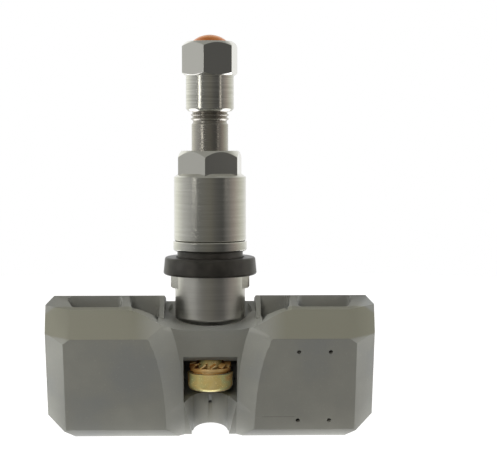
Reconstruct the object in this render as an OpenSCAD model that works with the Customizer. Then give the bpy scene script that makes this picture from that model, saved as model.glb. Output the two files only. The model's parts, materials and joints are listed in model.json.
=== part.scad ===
// Clamp-in tyre pressure sensor: a valve stem with its cap, collar nut and rim seal, and a moulded
// housing that tilts on the ball-shaped foot of the stem and is clamped there by one screw.
// Millimetres. Z runs along the stem towards the cap, the housing's face looks along -Y, and the
// origin is on the stem axis in the plane where the rim seal meets the inside of the rim.

/* [Valve stem] */
// Height of the valve mouth above the rim seat
stem_top = 39.9; // [34:0.1:48]
// Diameter of the valve mouth thread
mouth_thread_d = 7.7; // [7:0.1:9]
// Length of the valve mouth thread
mouth_thread_length = 12.8; // [11:0.1:15]
// Pitch of the valve mouth thread
mouth_thread_pitch = 0.794; // [0.6:0.001:1]
// Depth of the valve mouth thread
mouth_thread_depth = 0.42; // [0.2:0.01:0.5]
// Diameter of the plain neck below the mouth thread
neck_d = 7.4; // [6.6:0.1:8]
// Diameter of the threaded shank that the collar nut runs on
shank_d = 10; // [9.5:0.1:10.6]
// Height of the shank's shoulder above the rim seat
shank_top = 13.6; // [11:0.1:14]
// Distance across the body's two lugs
lug_span = 16; // [15:0.1:17.5]
// Width of the lugs
lug_w = 6; // [4:0.1:8]
// Height of the lugs
lug_h = 2.7; // [1.5:0.1:3]
// Bore of the air passage
passage_d = 2.8; // [2:0.1:3]
// Distance from the ball's centre down to the end of the air passage
passage_drop = 2.9; // [2:0.1:3]
// Diameter of the vent from the passage to the back of the stem
vent_d = 1.6; // [1:0.1:2]
// Height of the vent above the ball's centre
vent_rise = 0.9; // [0.5:0.1:1.2]

/* [Valve core] */
// Diameter of the threaded plug of the core
core_d = 5.2; // [4.8:0.1:5.4]
// Length of the threaded plug
core_plug_length = 7; // [5:0.1:8]
// Depth of the plug's top below the valve mouth
core_depth = 0.8; // [0.4:0.1:1.5]
// Length of the tapered gasket
core_gasket_length = 2.5; // [2:0.1:3]
// Outer diameter of the core's lower tube
core_tube_d = 2.6; // [2.2:0.1:2.8]
// Length of the lower tube below the gasket
core_tube_length = 1.6; // [1:0.1:2.5]
// Diameter of the core's pin
pin_d = 1.1; // [0.8:0.05:1.3]
// Depth of the pin's tip below the valve mouth
pin_depth = 0.3; // [0.1:0.1:0.6]
// Travel of the pin when it is pressed
pin_travel = 1.2; // [0.8:0.1:1.5]
// Diameter of the washer that closes the lower tube
seat_washer_d = 3.5; // [3.2:0.1:3.8]
// Thickness of the seat washer
seat_washer_t = 1.1; // [0.8:0.1:1.4]
// Free bore below the gasket, where the spring lies
spring_bore_d = 4.1; // [3.9:0.1:4.3]
// Length of the core spring when the valve is shut
spring_length = 6.8; // [5:0.1:8]
// Wire diameter of the core spring
spring_wire_d = 0.35; // [0.25:0.05:0.45]
// Turns of the core spring
spring_turns = 5; // [4:1:7]

/* [Valve cap] */
// Length of stem that the cap covers
cap_overlap = 10.5; // [9:0.1:11]
// Outer diameter of the cap's round skirt
cap_skirt_d = 9.7; // [9.3:0.1:11]
// Length of the round skirt
cap_skirt_length = 7.2; // [5:0.1:8]
// Width across the flats of the cap's hexagon
cap_flats = 10.2; // [9.8:0.1:12]
// Length of the hexagon
cap_hex_length = 6.8; // [6:0.1:8]
// Turn of the cap's hexagon about the stem
cap_turn = 18; // [0:1:59]
// Thickness of the sealing disc inside the cap
cap_seal_t = 1.2; // [0.8:0.1:1.5]
// Diameter of the coloured plug in the cap's top
plug_d = 7.2; // [6:0.1:8]
// Height of the plug's dome
plug_dome_h = 1.4; // [0.8:0.1:2]

/* [Collar nut] */
// Width across the flats of the nut
nut_flats = 12; // [11.5:0.1:13]
// Height of the nut's hexagon
nut_hex_h = 4.6; // [4:0.1:6]
// Turn of the nut's hexagon about the stem
nut_turn = 22; // [0:1:59]
// Diameter of the nut's round sleeve
sleeve_d = 14.6; // [13.5:0.1:15.5]
// Step from the sleeve's side out to the washer and in to the stem's body
sleeve_step = 0.2; // [0.1:0.05:0.3]
// Height of the sleeve
sleeve_h = 12.93; // [12.5:0.01:15]
// Height of the shoulder between hexagon and sleeve
shoulder_h = 0.7; // [0.4:0.1:1.5]
// Wall left above the nut's thread
nut_roof_t = 6.5; // [5.5:0.1:6.9]
// Thickness of the washer under the nut
nut_washer_t = 2; // [1:0.1:2.5]

/* [Rim seal] */
// Diameter of the seal's flange at its foot
flange_d = 18.9; // [18:0.1:21]
// Diameter of the seal's flange at its top
flange_top_d = 18.4; // [17.5:0.1:20]
// Thickness of the seal's flange
flange_t = 3.6; // [3:0.1:5]
// Diameter of the seal's neck in the rim hole
seal_neck_d = 13.3; // [12.5:0.1:14.5]
// Height of the seal's neck
seal_neck_h = 1.2; // [1:0.1:3]
// Radius of the seal's edges
seal_edge_r = 0.5; // [0.2:0.1:0.8]

/* [Ball seat] */
// Distance from the rim seat down to the centre of the ball
ball_drop = 6; // [6:0.1:8]
// Radius of the ball
ball_r = 9.4; // [9:0.1:9.5]
// Distance from the ball's centre to the flat under the ball
ball_flat = 8.8; // [8.2:0.1:8.9]
// Running clearance between ball and seat
ball_gap = 0.05; // [0.03:0.01:0.08]
// Lean of the housing about the ball
housing_lean = 16; // [10:1:20]
// Tilt that the seat allows to each side of that lean
tilt_range = 8; // [2:1:8]
// Thickness of the seat wall between ball and lock washer
seat_wall_t = 5.8; // [5.4:0.1:6.2]

/* [Fixing screw] */
// Diameter of the screw's shank
screw_d = 5; // [4:0.1:5]
// Length of the shank under the head
screw_length = 14.2; // [13.4:0.1:14.4]
// Diameter of the screw's pan head
head_d = 9.3; // [8.6:0.1:9.5]
// Height of the head
head_h = 3.6; // [3:0.1:3.8]
// Radius of the head's outer edge
head_edge_r = 1.4; // [0.6:0.1:1.8]
// Distance that the screw can be backed off
screw_travel = 0.8; // [0.6:0.1:1]
// Thickness of the spring washer
spring_washer_t = 0.4; // [0.3:0.05:0.6]
// Outer diameter of the spring washer
spring_washer_d = 7.4; // [7:0.1:8]
// Outer diameter of the lock washer's flat ring
lock_ring_d = 8.6; // [7.8:0.1:8.8]
// Thickness of the lock washer
lock_ring_t = 0.85; // [0.6:0.05:1]
// Height of the lock washer's bent teeth
lock_tooth_h = 1.05; // [0.9:0.05:1.2]
// Number of teeth on the lock washer
lock_teeth = 10; // [8:1:12]

/* [Housing] */
// Width of the housing
housing_w = 65.6; // [64.4:0.1:70]
// Distance from the ball's centre forward to the face of the wings
face_y = 12.5; // [12.2:0.1:14]
// Distance from the ball's centre back to the housing's flat back
back_y = 7; // [7:0.1:9]
// Distance from the ball's centre down to the housing's foot
foot_z = 28.2; // [27.8:0.1:32]
// Distance from the ball's centre down to the top of the wings
wing_top_z = 1.4; // [1:0.1:2]
// Height that the wings' top falls towards the back
rear_drop = 4.1; // [3:0.1:4.1]
// Height of the slope over each wing's face
brow_h = 4.9; // [3:0.1:6]
// Depth of the slope over each wing's face
brow_depth = 3.3; // [2:0.1:3.6]
// Width of the bevel down each side of the face
side_bevel_w = 3.75; // [2:0.05:5]
// Depth of the bevel down each side of the face
side_bevel_depth = 2.7; // [1:0.1:4]
// Height of the bevel along the foot
foot_bevel_h = 2; // [1:0.1:3]
// Depth of the bevel along the foot
foot_bevel_depth = 1.25; // [0.5:0.05:2]
// Width of the cut across each lower corner
low_corner_w = 5.5; // [3:0.1:7]
// Height of the cut across each lower corner
low_corner_h = 4.2; // [2:0.1:5]
// Distance from the side bevel in to the start of each upper front corner's slant
front_corner_inset = 1.45; // [1:0.05:2]
// Distance from the ball's centre forward to the start of each upper rear corner's slant
rear_corner_y = 6.35; // [5:0.05:8]
// Heading of that slant across the top
rear_corner_heading = 23; // [15:1:30]
// Depth of the valley between the wings
valley_depth = 2; // [1:0.1:2.2]
// Half width of the valley's flat floor
valley_floor_x = 5; // [4:0.1:5.3]
// Half width of the valley at the housing's foot
valley_foot_x = 8.5; // [7:0.1:10]
// Extra half width of the valley where the wing's face ends
valley_flare = 3.9; // [1:0.1:5]
// Height over which that flare dies away
valley_flare_h = 8; // [5:0.5:12]
// Distance from the ball's centre down to the rim of the cup
cup_rim_z = 5.2; // [5:0.1:5.6]
// Diameter of the cup's open rim
cup_d = 17; // [16.4:0.1:17.4]
// Depth of the cup's round recess above the ball seat
cup_recess_h = 1; // [0.8:0.1:1.4]
// Half width of the notch behind the stem
rear_notch_x = 9.2; // [9:0.1:9.4]
// Half width of the low middle of the housing's top
saddle_floor_x = 5; // [4:0.1:7]
// Half width at which the wings reach their full height
saddle_top_x = 17; // [14:0.1:20]

/* [Window and channel] */
// Width of the window that holds the screw's head
window_w = 10.8; // [10.4:0.1:11.6]
// Distance from the ball's centre back to the window's rear wall
window_back_y = 3; // [2.9:0.1:3.1]
// Distance from the ball's centre down to the window's foot at the front
window_foot_z = 21.2; // [20.8:0.1:21.6]
// Room left under the head when the screw is backed off
window_play = 0.4; // [0.36:0.02:0.6]
// Diameter of the screwdriver's channel
channel_d = 7.06; // [6:0.02:7.6]
// Lean of the channel in the housing
channel_lean = 18; // [16:0.5:20]

/* [Top pockets] */
// Thickness of the front wall's top edge
front_wall_t = 1.5; // [1:0.1:2.5]
// Distance from the ball's centre forward to the pockets' rear wall
pocket_back_y = 3; // [2.8:0.1:3.6]
// Half width at which the inner pocket starts
pocket_inner_x = 10.15; // [10.05:0.05:10.6]
// Half width at the middle of the rib between the pockets
pocket_rib_x = 16.7; // [15:0.1:18]
// Thickness of that rib
pocket_rib_t = 1.7; // [1:0.1:2.5]
// Half width at which the outer pocket ends, halfway back
pocket_outer_x = 28.15; // [26:0.05:28.4]
// Slant of the outer pocket's end
pocket_slant = 1.5; // [0:0.1:1.8]
// Radius of the pockets' corners
pocket_corner_r = 1; // [0.4:0.1:1.4]
// Distance from the ball's centre down to the pockets' floor
pocket_floor_z = 20; // [10:0.5:22]

/* [Electronics compartment] */
// Thickness of the wall between pockets and compartment
inner_wall_t = 1.4; // [1:0.1:1.6]
// Thickness of the outer walls around the compartment
side_wall_t = 1.3; // [1:0.05:1.4]
// Thickness of the back cover
cover_t = 1.4; // [1:0.1:1.5]
// Width of the ledge that carries the back cover
cover_ledge = 0.65; // [0.5:0.05:0.8]
// Half width at which the compartment's wings start
bay_inner_x = 11.1; // [10.9:0.05:11.3]
// Distance from the ball's centre down to the compartment's top
bay_top_z = 6.6; // [6.5:0.1:7]
// Distance from the ball's centre down to the bridge behind the window
bridge_top_z = 17.4; // [17:0.1:19]
// Thickness of the circuit board
board_t = 1; // [0.8:0.1:1]
// Clearance behind the circuit board
board_back_gap = 0.4; // [0.2:0.1:0.6]
// Clearance around the circuit board
board_gap = 0.3; // [0.1:0.05:0.4]
// Clearance around the coin cell
cell_gap = 0.15; // [0.1:0.05:0.4]
// Thickness of the coin cell
cell_t = 5; // [3:0.1:5]
// Thickness of the battery tabs
tab_t = 0.2; // [0.1:0.05:0.2]
// Width of the battery tabs
tab_w = 3; // [2:0.1:4]
// Length of each battery tab that lies on the cell
tab_overlap = 2; // [1:0.1:3]
// Width of the pressure sensor, as a share of the wing's compartment
sensor_share = 0.34; // [0.25:0.01:0.36]
// Height of the pressure sensor
sensor_h = 2.8; // [2:0.1:3.2]
// Diameter of the pressure port
port_d = 1.2; // [0.8:0.1:1.6]
// Outer diameter of the port seal
port_seal_d = 4.4; // [3.6:0.1:5]
// Side of the controller chip, as a share of the wing's compartment
chip_share = 0.29; // [0.2:0.01:0.31]
// Height of the controller chip
chip_h = 1.6; // [1:0.1:2]
// Length of the wake-up coil, as a share of the compartment's height
coil_length_share = 0.39; // [0.3:0.01:0.44]
// Diameter of the wake-up coil's winding, as a share of the compartment's width
coil_d_share = 0.127; // [0.1:0.001:0.14]
// Height of the aerial above the board
aerial_h = 4; // [3:0.1:5]
// Width of the aerial's strip
aerial_w = 0.9; // [0.6:0.1:1.2]

/* [Hidden] */
$fn = 96;

// Clearances
slip = 0.05;
thread_gap = 0.05;
seat_gap = 0.02;
past = 1;

// Diameters that go with the nut's sleeve
body_d = sleeve_d - 2 * sleeve_step;
nut_washer_d = sleeve_d + 2 * sleeve_step;

// Stations along the stem
ball_z = -ball_drop;
body_top = -flange_t;
lug_foot = body_top - lug_h;
body_foot = ball_z - sqrt(pow(ball_r, 2) - pow(body_d / 2, 2));
mouth_thread_foot = stem_top - mouth_thread_length;
core_top = stem_top - core_depth;
gasket_top = core_top - core_plug_length;
gasket_foot = gasket_top - core_gasket_length;
tube_foot = gasket_foot - core_tube_length;
seat_washer_top = tube_foot - seat_gap;
spring_top = seat_washer_top - seat_washer_t;
spring_foot = spring_top - spring_length;
passage_foot = ball_z - passage_drop;
vent_z = ball_z + vent_rise;

// Stations of the cap and the nut
cap_foot = stem_top - cap_overlap;
cap_hex_foot = cap_foot + cap_skirt_length;
cap_top = cap_hex_foot + cap_hex_length;
cap_roof = stem_top + slip + cap_seal_t + slip;
plug_shank_d = plug_d - 2;
nut_washer_foot = seal_neck_h + slip;
sleeve_foot = nut_washer_foot + nut_washer_t + seat_gap;
sleeve_top = sleeve_foot + sleeve_h;
nut_hex_foot = sleeve_top + shoulder_h;
nut_top = nut_hex_foot + nut_hex_h;
nut_roof = nut_top - nut_roof_t;

// Distances below the ball's centre, along the stem
seat_under_r = ball_r + seat_wall_t + ball_gap;
lock_top = seat_under_r + ball_gap;
lock_ring_top = lock_top + lock_tooth_h;
lock_foot = lock_ring_top + lock_ring_t;
head_top = lock_foot + seat_gap + spring_washer_t + seat_gap;
head_foot = head_top + head_h;
screw_tip = head_top - screw_length;
window_floor_r = head_foot + screw_travel + window_play;

// Places in the housing, from the ball's centre
half_w = housing_w / 2;
brow_foot_z = wing_top_z + brow_h;
valley_y = face_y - valley_depth;
front_edge_y = face_y - brow_depth;
pocket_front_y = front_edge_y - front_wall_t;
rear_slope_end_z = wing_top_z + rear_drop;
rear_lip_z = cup_rim_z + cup_recess_h;
seat_relief_z = rear_lip_z + 0.6;
bay_front_y = pocket_back_y - inner_wall_t;
cover_inner_y = back_y - cover_t;
board_back_y = cover_inner_y - board_back_gap;
board_front_y = board_back_y - board_t;
bridge_floor_y = board_front_y - 2 * slip;
bay_outer_x = half_w - side_wall_t;
bay_foot_z = foot_z - side_wall_t;
bay_w = bay_outer_x - bay_inner_x;
bay_h = bay_foot_z - bay_top_z;
cell_d = min(bay_w, bay_h) - 2 * cell_gap;
cell_x = bay_inner_x + bay_w / 2;
cell_z = bay_top_z + bay_h / 2;
cell_front_y = bay_front_y - tab_t - seat_gap;
cell_back_y = -cell_front_y + cell_t;
tab_reach = cell_d / 2 + 2 * cell_gap;

// Places of the other pieces on the board, as shares of the wing's compartment
sensor_w = sensor_share * bay_w;
sensor_x = bay_inner_x + 0.61 * bay_w;
sensor_z = bay_top_z + 0.49 * bay_h;
chip_w = chip_share * bay_w;
chip_x = bay_inner_x + 0.21 * bay_w;
chip_z = bay_top_z + 0.64 * bay_h;
crystal_z = bay_top_z + 0.3 * bay_h;
coil_length = coil_length_share * bay_h;
coil_d = coil_d_share * bay_w;
coil_x = bay_inner_x + 0.875 * bay_w;
coil_z = bay_top_z + 0.51 * bay_h;
aerial_z = bay_top_z + 0.12 * bay_h;

// A tube or, with no inner diameter, a solid round between two heights
module ring(outer_d, inner_d, low, high) {
    translate([0, 0, low])
        difference() {
            cylinder(d = outer_d, h = high - low);
            if (inner_d > 0)
                translate([0, 0, -past]) cylinder(d = inner_d, h = high - low + 2 * past);
        }
}

// A six-sided bar whose corners are turned off towards its ends
module turned_hexagon(flats, low, high, foot_cut, top_cut) {
    corner_r = flats / 2 / cos(30);
    intersection() {
        translate([0, 0, low]) cylinder(r = corner_r, h = high - low, $fn = 6);
        rotate_extrude()
            polygon([[0, low], [corner_r - foot_cut, low], [corner_r, low + foot_cut * tan(30)],
                     [corner_r, high - top_cut * tan(30)], [corner_r - top_cut, high], [0, high]]);
    }
}

// Places its children in the leaning housing, whose origin is the ball's centre
module in_housing() {
    translate([0, 0, ball_z]) rotate([housing_lean, 0, 0]) children();
}

// A side view of [distance forward, height] points, extruded across the housing
module across(width) {
    rotate([90, 0, 90]) translate([0, 0, -width / 2]) linear_extrude(width) children();
}

// A front view of [x, height] points, extruded from one depth back to another
module from_front(front, back) {
    translate([0, back, 0]) rotate([90, 0, 0]) linear_extrude(back - front) children();
}

// Places a copy of its children on each side of the housing
module both_sides() {
    children();
    mirror([1, 0, 0]) children();
}

// The cap: a round skirt and a hexagon, bored for the stem and open under the plug
module cap_shell() {
    edge = 0.5;
    foot_cut = 0.9;
    top_cut = 1.1;
    color("silver")
        difference() {
            union() {
                rotate_extrude()
                    polygon([[0, cap_foot], [cap_skirt_d / 2 - edge, cap_foot],
                             [cap_skirt_d / 2, cap_foot + edge], [cap_skirt_d / 2, cap_hex_foot + edge],
                             [0, cap_hex_foot + edge]]);
                rotate(cap_turn) turned_hexagon(cap_flats, cap_hex_foot, cap_top, foot_cut, top_cut);
            }
            translate([0, 0, cap_foot - past])
                cylinder(d = mouth_thread_d + 2 * thread_gap, h = cap_roof - cap_foot + past);
            cylinder(d = plug_shank_d, h = cap_top + past);
        }
}

// The coloured plug, a low dome on a pressed shank
module cap_plug() {
    dome_r = (pow(plug_d / 2, 2) + pow(plug_dome_h, 2)) / (2 * plug_dome_h);
    color("peru")
        union() {
            translate([0, 0, cap_roof]) cylinder(d = plug_shank_d, h = cap_top - cap_roof);
            intersection() {
                translate([0, 0, cap_top]) cylinder(d = plug_d, h = plug_dome_h);
                translate([0, 0, cap_top + plug_dome_h - dome_r]) sphere(r = dome_r);
            }
        }
}

// The rubber disc that the cap presses on the valve mouth
module cap_seal() {
    color("dimgray")
        ring(mouth_thread_d, 2.1 * pin_d, stem_top + slip, stem_top + slip + cap_seal_t);
}

// The stem, turned in one piece from the mouth thread down to the ball
module valve_stem() {
    root_r = mouth_thread_d / 2 - mouth_thread_depth;
    crests = floor(mouth_thread_length / mouth_thread_pitch) - 1;
    first_crest = mouth_thread_foot + crests * mouth_thread_pitch;
    thread = [for (i = [0 : crests - 1])
        each thread_crest(root_r, first_crest - i * mouth_thread_pitch)];
    step = 0.3;
    color("gainsboro")
        difference() {
            union() {
                rotate_extrude()
                    polygon(concat([[0, stem_top], [root_r, stem_top]], thread,
                        [[root_r, mouth_thread_foot],
                         [neck_d / 2, mouth_thread_foot - step], [neck_d / 2, shank_top + step],
                         [shank_d / 2 - step, shank_top + step], [shank_d / 2, shank_top],
                         [shank_d / 2, body_top], [body_d / 2, body_top],
                         [body_d / 2, body_foot], [0, body_foot]]));
                intersection() {
                    rotate_extrude()
                        polygon([[0, body_top], [lug_span / 2, body_top],
                                 [lug_span / 2, lug_foot + step], [lug_span / 2 - step, lug_foot],
                                 [0, lug_foot]]);
                    translate([-lug_span, -lug_w / 2, lug_foot - past])
                        cube([2 * lug_span, lug_w, lug_h + 2 * past]);
                }
                intersection() {
                    translate([0, 0, ball_z]) sphere(r = ball_r);
                    ring(body_d, 0, ball_z - ball_flat, body_foot + step);
                }
            }
            stem_bores();
        }
}

// The outline of one ridge of the mouth thread, from its top to its foot
function thread_crest(root_r, z) =
    let (half = mouth_thread_pitch / 2 - 0.01, flat = mouth_thread_pitch / 16, crest_r = mouth_thread_d / 2)
        [[root_r, z + half], [crest_r, z + flat], [crest_r, z - flat], [root_r, z - half]];

// The bores inside the stem: core chamber, spring chamber, passage, vent and screw hole
module stem_bores() {
    chamber_r = core_d / 2 + seat_gap;
    spring_r = spring_bore_d / 2;
    chamfer = 0.4;
    rotate_extrude()
        polygon([[0, stem_top + past], [chamber_r + past + chamfer, stem_top + past],
                 [chamber_r, stem_top - chamfer], [chamber_r, gasket_top], [spring_r, gasket_foot],
                 [spring_r, spring_foot], [passage_d / 2, spring_foot - chamfer],
                 [passage_d / 2, passage_foot - past], [0, passage_foot - past]]);
    translate([0, 0, vent_z]) rotate([-90, 0, 0]) cylinder(d = vent_d, h = body_d);
    translate([0, 0, ball_z - ball_flat - past])
        cylinder(d = screw_d + 2 * thread_gap, h = passage_foot - ball_z + ball_flat + past);
}

// The core's plug, with the cross flats that a core key turns, and its lower tube
module core_barrel() {
    flats_w = 2.6;
    flats_h = 2.2;
    color("goldenrod")
        difference() {
            union() {
                ring(core_d, 0, gasket_top, core_top - flats_h);
                intersection() {
                    ring(core_d, 0, core_top - flats_h, core_top);
                    translate([-core_d, -flats_w / 2, core_top - flats_h])
                        cube([2 * core_d, flats_w, flats_h]);
                }
                ring(core_tube_d, 0, tube_foot, gasket_top);
            }
            translate([0, 0, tube_foot - past])
                cylinder(d = pin_d + 2 * slip, h = core_top - tube_foot + 2 * past);
        }
}

// The tapered gasket that seals the core in the stem
module core_gasket() {
    color("firebrick")
        rotate_extrude()
            polygon([[core_tube_d / 2 + seat_gap, gasket_top - seat_gap],
                     [core_d / 2 - seat_gap, gasket_top - seat_gap],
                     [spring_bore_d / 2 - seat_gap, gasket_foot],
                     [core_tube_d / 2 + seat_gap, gasket_foot]]);
}

// The pin that opens the valve when it is pressed, with a shoulder that holds the seat washer
module core_pin() {
    shoulder_d = 2 * pin_d;
    shoulder_t = 0.5;
    color("goldenrod")
        union() {
            ring(pin_d, 0, spring_top - pin_travel, stem_top - pin_depth);
            ring(shoulder_d, 0, spring_top - shoulder_t, spring_top);
        }
}

// The washer that the spring holds against the core's lower tube
module core_seat() {
    color("dimgray") ring(seat_washer_d, pin_d, spring_top, seat_washer_top);
}

// The coil spring under the seat washer, swept round the stem axis
module core_spring() {
    coil_r = (spring_bore_d - spring_wire_d) / 2 - 0.15;
    sides = 8;
    steps = 14;
    rings = spring_turns * steps;
    rise = spring_length - 2 * spring_wire_d;
    low = spring_foot + spring_wire_d;
    points = [for (i = [0 : rings], k = [0 : sides - 1])
        let (turn = 360 * i / steps, r = coil_r + spring_wire_d / 2 * cos(360 * k / sides))
            [r * cos(turn), r * sin(turn),
             low + rise * i / rings + spring_wire_d / 2 * sin(360 * k / sides)]];
    walls = [for (i = [0 : rings - 1], k = [0 : sides - 1])
        let (a = i * sides + k, b = i * sides + (k + 1) % sides)
            [a, a + sides, b + sides, b]];
    ends = [[for (k = [0 : sides - 1]) k], [for (k = [sides - 1 : -1 : 0]) rings * sides + k]];
    color("silver") polyhedron(points = points, faces = concat(walls, ends), convexity = 10);
}

// The collar nut: hexagon, shoulder and a round sleeve threaded for the shank
module collar_nut() {
    sleeve_r = sleeve_d / 2;
    shoulder_r = 1.06 * nut_flats / 2;
    edge = 0.3;
    top_cut = 1.1;
    mouth_play = 0.3;
    color("silver")
        difference() {
            union() {
                rotate_extrude()
                    polygon([[0, sleeve_foot], [sleeve_r - edge, sleeve_foot],
                             [sleeve_r, sleeve_foot + edge], [sleeve_r, sleeve_top],
                             [shoulder_r, nut_hex_foot], [0, nut_hex_foot]]);
                rotate(nut_turn) turned_hexagon(nut_flats, nut_hex_foot - edge, nut_top, 0, top_cut);
            }
            translate([0, 0, sleeve_foot - past])
                cylinder(d = shank_d + 2 * thread_gap, h = nut_roof - sleeve_foot + past);
            cylinder(d = mouth_thread_d + mouth_play, h = nut_top + past);
        }
}

// The washer between nut and rim, drawn in towards its foot
module nut_washer() {
    outer_r = nut_washer_d / 2;
    inner_r = shank_d / 2 + slip;
    lip = 0.5;
    color("silver")
        rotate_extrude()
            polygon([[inner_r, nut_washer_foot], [outer_r - lip, nut_washer_foot],
                     [outer_r, nut_washer_foot + 0.7 * nut_washer_t],
                     [outer_r, nut_washer_foot + nut_washer_t], [inner_r, nut_washer_foot + nut_washer_t]]);
}

// The rubber seal: a thick flange against the rim and a neck in the rim's hole
module rim_seal() {
    inner_r = shank_d / 2 + seat_gap;
    neck_r = seal_neck_d / 2;
    foot = body_top + seat_gap;
    relief = 0.3;
    color("#2b2926")
        rotate_extrude()
            difference() {
                union() {
                    hull() {
                        translate([inner_r, foot]) square([1, flange_t - seat_gap]);
                        translate([flange_d / 2 - seal_edge_r, foot + seal_edge_r])
                            circle(r = seal_edge_r, $fn = 32);
                        translate([flange_top_d / 2 - seal_edge_r, -seal_edge_r])
                            circle(r = seal_edge_r, $fn = 32);
                    }
                    translate([inner_r, -relief]) square([neck_r - inner_r, seal_neck_h + relief]);
                }
                translate([neck_r, -relief]) square([relief, 2 * relief]);
            }
}

// The pan head screw, with a six-lobe socket in its head
module fixing_screw() {
    head_r = head_d / 2;
    tip_chamfer = 0.6;
    socket_depth = 1.8;
    lobe_r = 0.42;
    socket_r = 1.75;
    color("gold")
        translate([0, 0, ball_z])
            difference() {
                union() {
                    rotate_extrude()
                        intersection() {
                            union() {
                                translate([0, -head_foot + head_edge_r])
                                    square([head_r, head_h - head_edge_r]);
                                translate([0, -head_foot])
                                    square([head_r - head_edge_r, head_h]);
                                translate([head_r - head_edge_r, -head_foot + head_edge_r])
                                    circle(r = head_edge_r);
                            }
                            translate([0, -head_foot]) square([head_r, head_h]);
                        }
                    rotate_extrude()
                        polygon([[0, -head_top - seat_gap], [screw_d / 2, -head_top - seat_gap],
                                 [screw_d / 2, -screw_tip - tip_chamfer],
                                 [screw_d / 2 - tip_chamfer, -screw_tip], [0, -screw_tip]]);
                }
                translate([0, 0, -head_foot - past])
                    linear_extrude(socket_depth + past) six_lobes(socket_r, lobe_r);
            }
}

// The outline of a six-lobe socket
module six_lobes(outer_r, lobe_r) {
    circle(r = 0.8 * outer_r);
    for (i = [0 : 5])
        rotate(60 * i) translate([outer_r - lobe_r, 0]) circle(r = lobe_r);
}

// The split spring washer above the head
module spring_washer() {
    split_w = 0.6;
    top = ball_z - lock_foot - seat_gap;
    color("darkgoldenrod")
        difference() {
            ring(spring_washer_d, screw_d + 2 * slip, top - spring_washer_t, top);
            translate([0, 0, top - spring_washer_t / 2]) rotate([0, 25, 0])
                translate([-split_w / 2, screw_d / 2 - 0.3, -past]) cube([split_w, spring_washer_d, 2 * past]);
        }
}

// The lock washer: a flat ring whose twisted teeth stand up against the seat wall
module lock_washer() {
    tooth_w = 1.25;
    tooth_t = 0.4;
    tooth_twist = 28;
    tooth_flare = 12;
    ring_r = lock_ring_d / 2;
    color("darkgoldenrod")
        translate([0, 0, ball_z])
            intersection() {
                union() {
                    ring(lock_ring_d, screw_d + 2 * slip, -lock_foot, -lock_ring_top);
                    for (i = [0 : lock_teeth - 1])
                        rotate(360 * i / lock_teeth)
                            translate([ring_r - tooth_w / 2, 0, -lock_foot])
                                rotate([0, tooth_flare, tooth_twist])
                                    translate([-tooth_w / 2, -tooth_t / 2, 0])
                                        cube([tooth_w, tooth_t, lock_ring_t + 2 * lock_tooth_h]);
                }
                ring(lock_ring_d + 1.6, screw_d + 2 * slip, -lock_foot, -lock_top);
            }
}

// Side view of a wing, as [distance back, height]
module wing_side() {
    polygon([[-face_y, -foot_z + foot_bevel_h], [-face_y, -brow_foot_z], [-front_edge_y, -wing_top_z],
             [-pocket_back_y, -wing_top_z], [back_y, -rear_slope_end_z], [back_y, -foot_z],
             [-face_y + foot_bevel_depth, -foot_z]]);
}

// Front view of the housing, with its cut lower corners
module housing_front() {
    polygon([[half_w, -foot_z + low_corner_h], [half_w, -wing_top_z], [-half_w, -wing_top_z],
             [-half_w, -foot_z + low_corner_h], [-half_w + low_corner_w, -foot_z],
             [half_w - low_corner_w, -foot_z]]);
}

// Top view of the housing, with the bevels beside its face
module housing_plan() {
    polygon([[half_w, back_y], [-half_w, back_y], [-half_w, -face_y + side_bevel_depth],
             [-half_w + side_bevel_w, -face_y], [half_w - side_bevel_w, -face_y],
             [half_w, -face_y + side_bevel_depth]]);
}

// Half width of the valley in the plane of the wings' faces, at a distance below the ball
function valley_x(z) = valley_foot_x + valley_flare * exp((brow_foot_z - z) / valley_flare_h);

// Distance below the ball of the housing's top, along the saddle between the wings
function saddle_z(x) =
    let (t = max(0, min(1, (abs(x) - saddle_floor_x) / (saddle_top_x - saddle_floor_x))))
        cup_rim_z + (wing_top_z - cup_rim_z) * (1 - cos(180 * t)) / 2;

// The outer form of the housing, before anything is cut from it
module housing_block() {
    intersection() {
        across(housing_w) wing_side();
        from_front(-face_y, back_y) housing_front();
        translate([0, 0, -foot_z]) linear_extrude(foot_z) housing_plan();
    }
}

// The slanted cut across the upper front corner of the right wing
module front_corner_cut() {
    lean = 58.7;
    heading = -64.3;
    translate([half_w - side_bevel_w - front_corner_inset, -front_edge_y, -wing_top_z])
        rotate([0, lean, heading])
            translate([-half_w / 2, -half_w / 2, 0]) cube(half_w);
}

// The slanted cut across the upper rear corner of the right wing
module rear_corner_cut() {
    slope = 45;
    translate([half_w, -rear_corner_y, -wing_top_z])
        rotate([0, 0, rear_corner_heading])
            rotate([0, slope, 0])
                translate([-half_w / 2, -half_w / 2, 0]) cube(half_w);
}

// The shallow valley between the wings: its front outline, narrowed towards its floor
module valley_cut() {
    steps = 14;
    crowding = 1.6;
    floor_share = valley_floor_x / valley_foot_x;
    front_y = face_y + valley_depth;
    low = foot_z + past;
    top = wing_top_z - past;
    edge = [for (i = [0 : steps])
        let (z = top + (low - top) * pow(i / steps, crowding))
            [valley_x(z) * (2 - floor_share), z]];
    mirrored = [for (i = [steps : -1 : 0]) [-edge[i][0], edge[i][1]]];
    translate([0, -front_y, 0])
        rotate([-90, 0, 0])
            linear_extrude(2 * valley_depth, scale = [floor_share / (2 - floor_share), 1],
                           slices = 1, $fn = 12)
                polygon(concat(edge, mirrored));
}

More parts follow.
